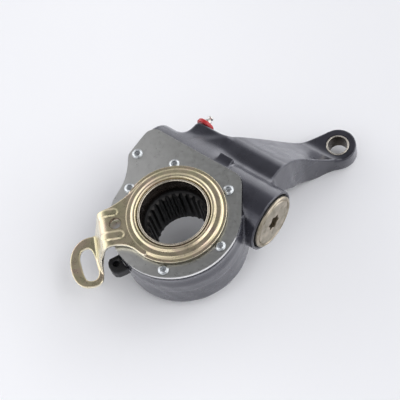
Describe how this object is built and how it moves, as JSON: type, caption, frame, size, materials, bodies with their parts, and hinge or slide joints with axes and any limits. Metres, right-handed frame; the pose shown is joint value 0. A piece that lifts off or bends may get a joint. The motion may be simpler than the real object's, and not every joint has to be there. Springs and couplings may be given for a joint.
{
  "type": "brake slack adjuster",
  "caption": "Automatic drum-brake slack adjuster: cranked lever housing, splined worm wheel, worm and a swinging control arm with an anchor slot.",
  "frame": {"origin": "on the axis of the splined camshaft bore, level with the outer face of the cover plate", "axes": "+Z along the bore towards the control arm side, +X along the worm towards the bearing screw, +Y from the bore towards the lever eye's side"},
  "size_m": [0.1166, 0.2143, 0.0894],
  "materials": {
    "painted_casting": "satin",
    "zinc_plate": "satin",
    "yellow_passivated_steel": "satin",
    "machined_steel": "satin",
    "hardened_steel": "oiled",
    "spring_steel": "satin",
    "black_rubber": "matte",
    "black_plastic": "matte",
    "red_plastic": "gloss",
    "bronze": "satin",
    "gasket_fibre": "matte",
    "pale_passivated_steel": "satin"
  },
  "bodies": {
    "housing_body": {"housing": "painted_casting", "eye_bush": "machined_steel", "cover_plate": "zinc_plate", "cover_gasket": "gasket_fibre", "cover_screw_1": "zinc_plate", "cover_screw_2": "zinc_plate", "cover_screw_3": "zinc_plate", "cover_screw_4": "zinc_plate", "cover_screw_5": "zinc_plate", "cover_screw_6": "zinc_plate", "cover_screw_7": "zinc_plate", "wheel_rear_seal": "black_rubber", "wheel_rear_bush": "bronze", "arm_seal": "black_rubber", "thrust_race_outer": "machined_steel", "spring_seat": "machined_steel", "main_spring": "spring_steel", "bearing_screw": "pale_passivated_steel", "bearing_screw_seal": "black_rubber", "worm_end_bush": "bronze", "worm_end_seal": "black_rubber", "rack_spring": "spring_steel", "side_stop": "black_plastic", "grease_nipple": "machined_steel", "nipple_ring": "red_plastic"},
    "control_arm_body": {"control_arm": "yellow_passivated_steel", "control_collar": "machined_steel", "control_disc": "machined_steel"},
    "worm_wheel_body": {"worm_wheel": "hardened_steel"},
    "worm_body": {"worm_screw": "machined_steel", "clutch_hub": "machined_steel", "clutch_spring": "spring_steel", "thrust_race_inner": "machined_steel", "thrust_rollers": "machined_steel"},
    "rack_body": {"rack": "machined_steel"},
    "clutch_wheel_body": {"clutch_wheel": "machined_steel"}
  },
  "joints": [
    {"name": "control_arm_swing", "type": "hinge", "parent": "housing_body", "child": "control_arm_body", "pos_m": [0, 0, 0], "axis": [0, 0, 1], "range_deg": [-16, 0]},
    {"name": "rack_slide", "type": "slide", "parent": "housing_body", "child": "rack_body", "axis": [0, 1, 0], "range_m": [0, 0.0094]},
    {"name": "clutch_wheel_spin", "type": "hinge", "parent": "housing_body", "child": "clutch_wheel_body", "pos_m": [0, 0.0375, -0.023], "axis": [1, 0, 0], "range_deg": [-54, 0]},
    {"name": "worm_spin", "type": "hinge", "parent": "housing_body", "child": "worm_body", "pos_m": [0, 0.0375, -0.023], "axis": [1, 0, 0], "continuous": true},
    {"name": "worm_wheel_spin", "type": "hinge", "parent": "housing_body", "child": "worm_wheel_body", "pos_m": [0, 0, 0], "axis": [0, 0, 1], "continuous": true}
  ],
  "couplings": [
    {"joint": "rack_slide", "follows": "control_arm_swing", "m_per_rad": -0.0332},
    {"joint": "clutch_wheel_spin", "follows": "control_arm_swing", "ratio": 3.32},
    {"joint": "worm_wheel_spin", "follows": "worm_spin", "ratio": 0.041667}
  ]
}
